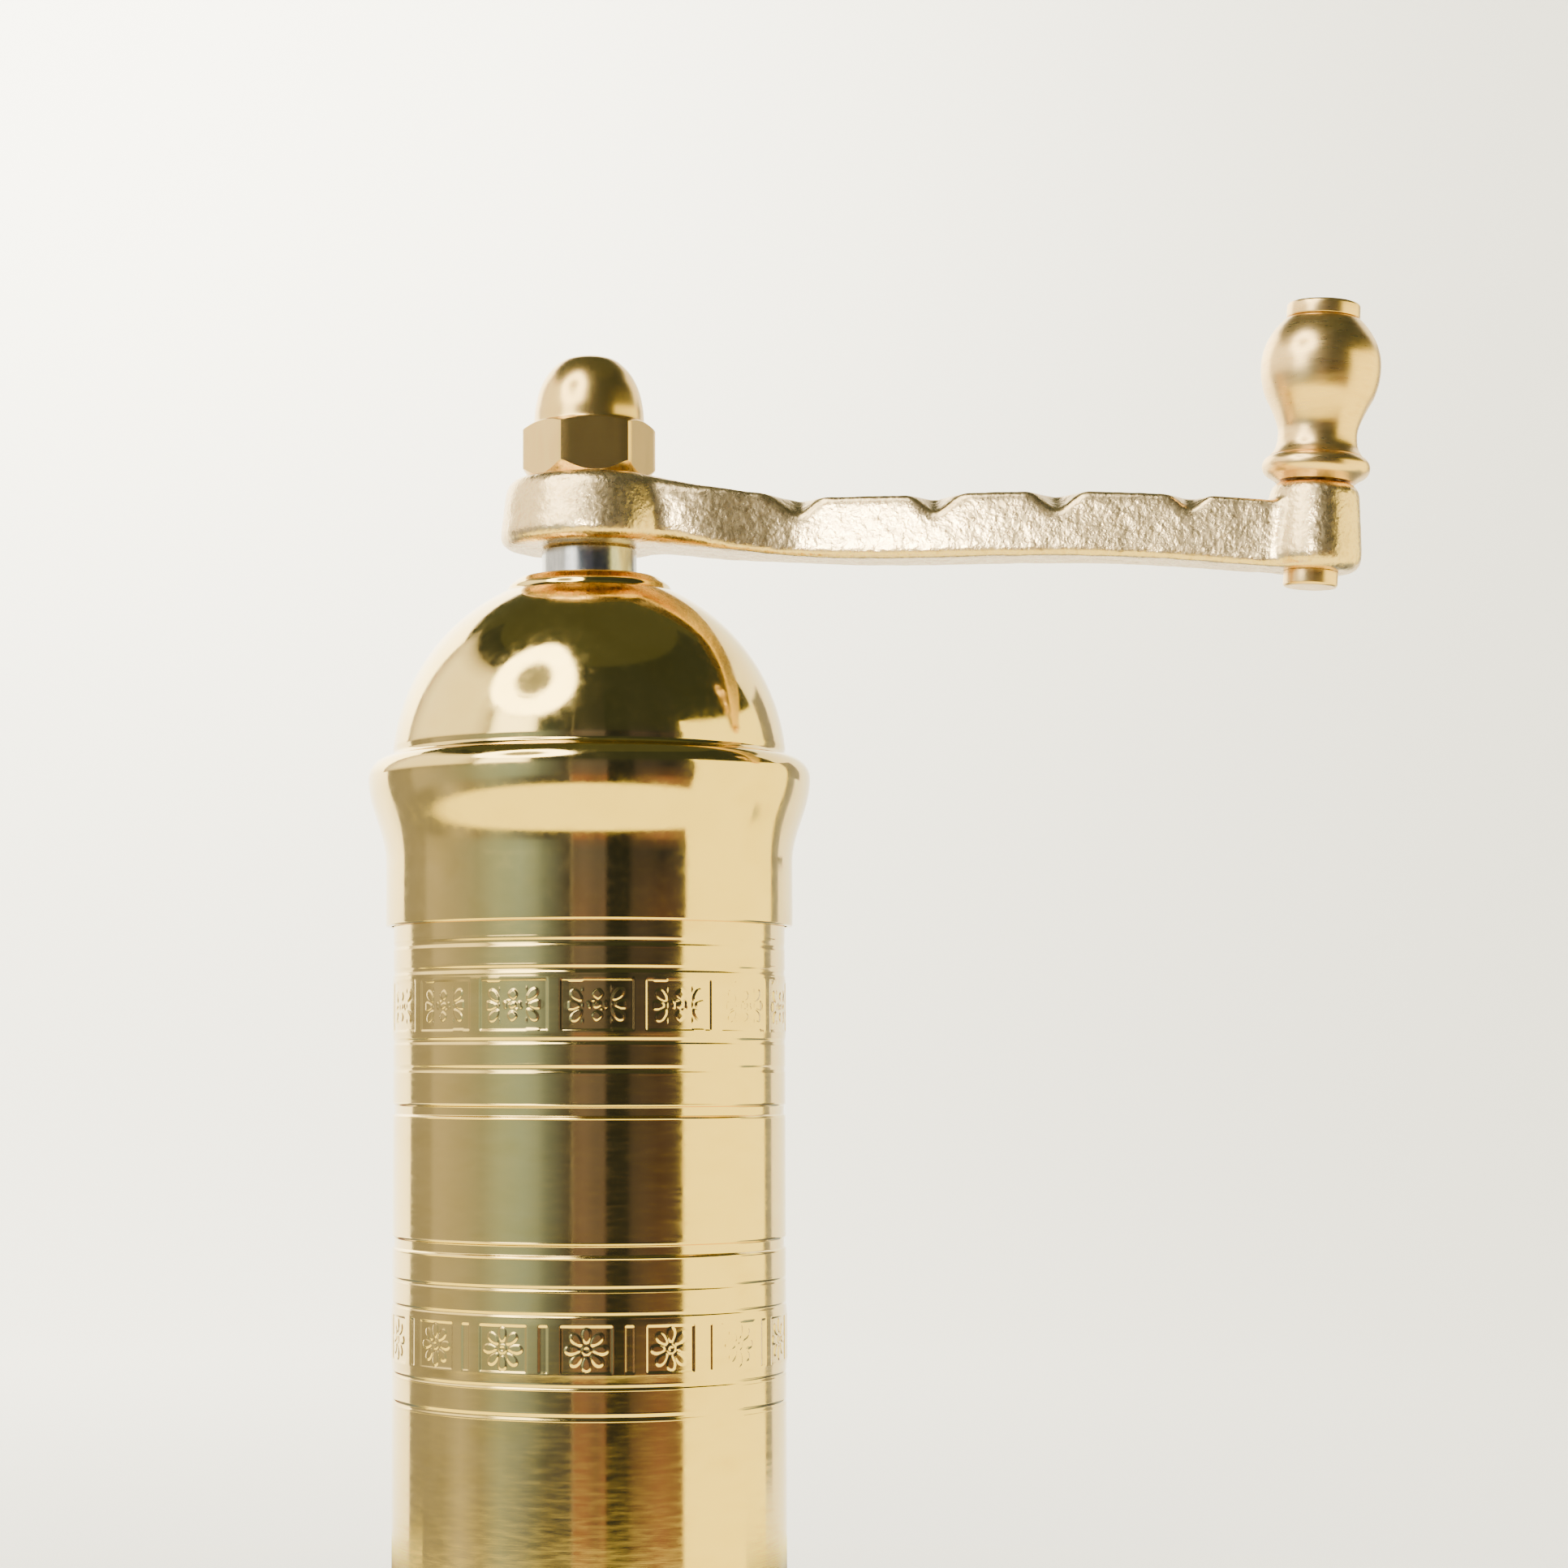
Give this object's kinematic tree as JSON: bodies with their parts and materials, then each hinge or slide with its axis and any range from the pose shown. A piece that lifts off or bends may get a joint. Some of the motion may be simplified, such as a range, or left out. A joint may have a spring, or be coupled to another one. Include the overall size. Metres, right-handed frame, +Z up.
{
  "type": "hand coffee mill",
  "caption": "Slender hand-cranked coffee mill: brass cylinder with domed cap, cast crank with turned knob, burrs inside and a pull-off grounds cup.",
  "frame": {"origin": "centre of the foot's flat underside", "axes": "+Z up along the cylinder's axis, the crank arm along +X at rest"},
  "size_m": [0.129, 0.0566, 0.2354],
  "materials": {
    "polished_brass": "polished, with fine turned brushing on the tubes",
    "turned_brass": "satin, fine turning rings",
    "nut_brass": "satin dome over milled hexagon flats",
    "cast_brass": "tumbled sand casting, grainy and pale",
    "inner_brass": "as machined",
    "bright_steel": "ground and lightly brushed",
    "zinc_steel": "zinc plated, dull",
    "spring_steel": "oil-tempered wire",
    "burr_iron": "cast, teeth ground"
  },
  "bodies": {
    "cup": {"cup_tube": "polished_brass", "foot_shell": "polished_brass"},
    "barrel": {"barrel_tube": "polished_brass", "coupling_ring": "inner_brass", "stator_burr": "burr_iron", "bearing_spider": "zinc_steel", "guide_bush": "inner_brass", "adjuster_bridge": "zinc_steel", "bridge_screws": "zinc_steel", "pressure_spring": "spring_steel"},
    "cap": {"cap_shell": "polished_brass", "cap_bush": "turned_brass"},
    "feed": {"thrust_ball": "bright_steel"},
    "adjuster": {"adjuster_screw": "zinc_steel", "adjuster_wheel": "inner_brass"},
    "crank": {"crank_arm": "cast_brass", "acorn_nut": "nut_brass", "knob_pin": "turned_brass", "drive_shaft": "bright_steel", "spacer_sleeve": "bright_steel", "rotor_burr": "burr_iron", "drive_pin": "bright_steel", "spring_washer": "zinc_steel"},
    "knob": {"crank_knob": "turned_brass"}
  },
  "joints": [
    {"name": "barrel_lift", "type": "slide", "parent": "cup", "child": "barrel", "axis": [0, 0, 1], "range_m": [0, 0.06]},
    {"name": "cap_lift", "type": "slide", "parent": "barrel", "child": "cap", "axis": [0, 0, 1], "range_m": [0, 0.0034]},
    {"name": "grind_feed", "type": "slide", "parent": "barrel", "child": "feed", "axis": [0, 0, 1], "range_m": [-0.0005, 0.0005], "deforming": ["pressure_spring"]},
    {"name": "adjuster_turn", "type": "hinge", "parent": "feed", "child": "adjuster", "pos_m": [0, 0, 0.045], "axis": [0, 0, 1], "range_deg": [-180, 180]},
    {"name": "crank_turn", "type": "hinge", "parent": "feed", "child": "crank", "pos_m": [0, 0, 0.2], "axis": [0, 0, 1], "continuous": true},
    {"name": "knob_spin", "type": "hinge", "parent": "crank", "child": "knob", "pos_m": [0.0923, 0, 0.2122], "axis": [0.061, 0, 0.9981], "continuous": true}
  ],
  "couplings": [
    {"joint": "adjuster_turn", "follows": "grind_feed", "rad_per_m": 6283}
  ]
}
